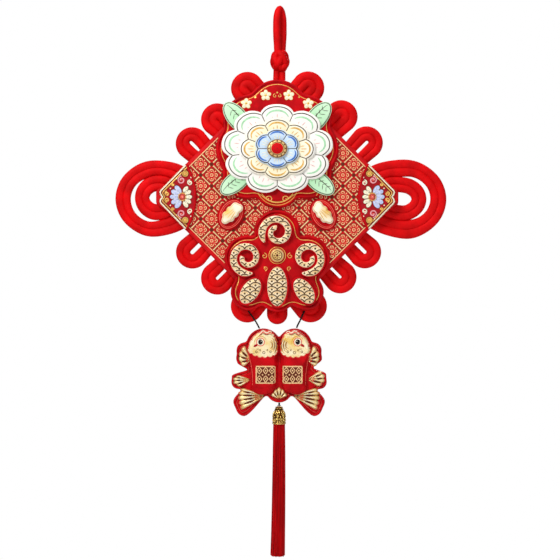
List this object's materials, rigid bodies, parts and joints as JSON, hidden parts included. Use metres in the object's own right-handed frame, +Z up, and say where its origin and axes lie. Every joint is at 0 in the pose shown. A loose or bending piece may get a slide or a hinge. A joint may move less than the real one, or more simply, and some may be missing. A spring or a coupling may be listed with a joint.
{
  "type": "chinese knot tassel",
  "caption": "Hanging knot of looped velvet cord round a padded printed diamond, with a flower plaque, a cloud of scrolls, a double-fish pendant and a capped tassel.",
  "frame": {"origin": "the point where the hook bears, at the top of the inside of the hanging loop", "axes": "+Z up, +X to the viewer's right, -Y towards the viewer, +Y towards the wall"},
  "size_m": [0.361, 0.0482, 0.5999],
  "materials": {
    "velvet": "red velvet, soft pile",
    "dark_velvet": "dark red velvet, soft pile",
    "printed_panel": "red satin cloth printed with a gold lattice",
    "printed_patch": "red satin cloth printed in gold and pale blue",
    "gold_cloth": "gold foil print on satin cloth",
    "white_plush": "white short-pile plush",
    "blue_plush": "pale blue short-pile plush",
    "green_plush": "pale green short-pile plush",
    "cream_plush": "cream short-pile plush",
    "floss": "red silk-like floss",
    "string": "dark brown string",
    "gold_metal": "polished gold-coloured metal"
  },
  "bodies": {
    "root": {"bottom_loop": "velvet", "bud_back_left": "velvet", "bud_back_right": "velvet", "bud_left": "cream_plush", "bud_right": "cream_plush", "cloud_back": "velvet", "cloud_bead": "gold_cloth", "cloud_petal_left": "gold_cloth", "cloud_petal_middle": "gold_cloth", "cloud_petal_right": "gold_cloth", "corner_patch_left": "printed_patch", "corner_patch_right": "printed_patch", "fish_back": "velvet", "fish_body_left": "velvet", "fish_body_right": "velvet", "fish_fin_left": "gold_cloth", "fish_fin_right": "gold_cloth", "fish_lotus": "gold_cloth", "fish_side_fin_left": "gold_cloth", "fish_side_fin_right": "gold_cloth", "fish_tail_left": "gold_cloth", "fish_tail_right": "gold_cloth", "flower_boss": "gold_cloth", "flower_inner": "blue_plush", "flower_middle": "white_plush", "flower_outer": "white_plush", "hanging_loop": "velvet", "knot_core": "dark_velvet", "leaf_lower_left": "green_plush", "leaf_lower_right": "green_plush", "leaf_upper_left": "green_plush", "leaf_upper_right": "green_plush", "panel": "printed_panel", "petal_lower_left_1": "velvet", "petal_lower_left_2": "velvet", "petal_lower_left_3": "velvet", "petal_lower_right_1": "velvet", "petal_lower_right_2": "velvet", "petal_lower_right_3": "velvet", "petal_upper_left_1": "velvet", "petal_upper_left_2": "velvet", "petal_upper_left_3": "velvet", "petal_upper_right_1": "velvet", "petal_upper_right_2": "velvet", "petal_upper_right_3": "velvet", "scroll_left": "gold_cloth", "scroll_right": "gold_cloth", "scroll_top": "gold_cloth", "shield": "velvet", "side_loop_left_inner": "velvet", "side_loop_left_outer": "velvet", "side_loop_right_inner": "velvet", "side_loop_right_outer": "velvet", "string_left": "string", "string_right": "string", "string_tassel": "string", "tassel": "floss", "tassel_cap": "gold_metal"}
  },
  "joints": []
}
